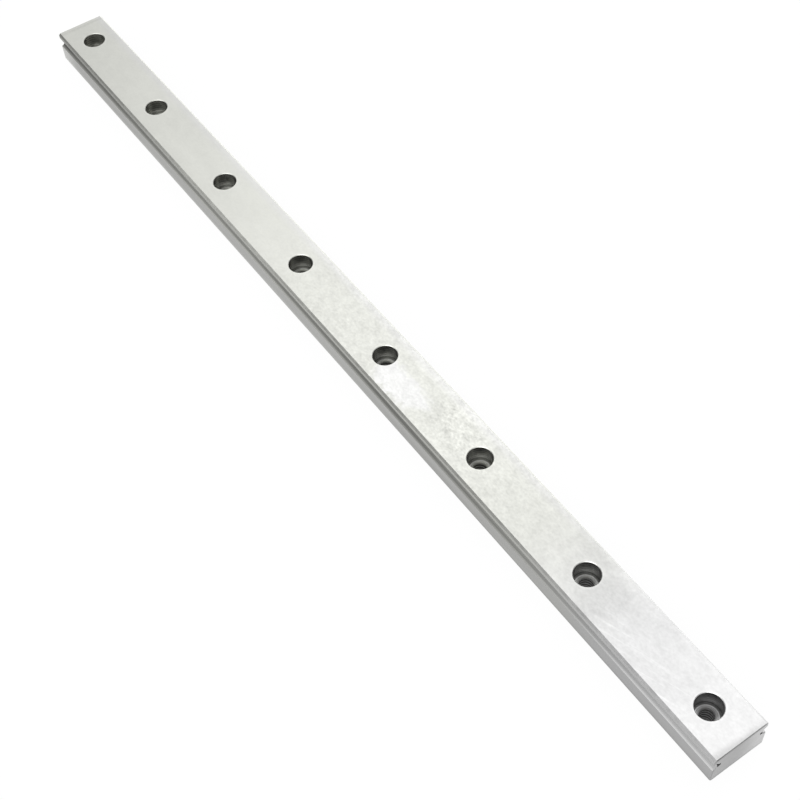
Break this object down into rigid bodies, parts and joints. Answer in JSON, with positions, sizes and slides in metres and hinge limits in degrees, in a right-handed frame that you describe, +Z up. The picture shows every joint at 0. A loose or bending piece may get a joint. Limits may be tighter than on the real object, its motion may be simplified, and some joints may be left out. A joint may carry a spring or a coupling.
{
  "type": "profile linear guide rail",
  "caption": "Bare ground steel linear guide rail: slim rectangular bar with a ball raceway along each side and counterbored screw holes down its middle.",
  "frame": {"origin": "middle of the underside", "axes": "+X along the rail, towards the end nearest the picture's camera; +Y across it, towards the picture's right; +Z up, out of the counterbores"},
  "size_m": [0.3, 0.015, 0.0095],
  "materials": {
    "rail_steel": "hardened and fine ground, bare"
  },
  "bodies": {
    "root": {"guide_rail": "rail_steel"}
  },
  "joints": []
}
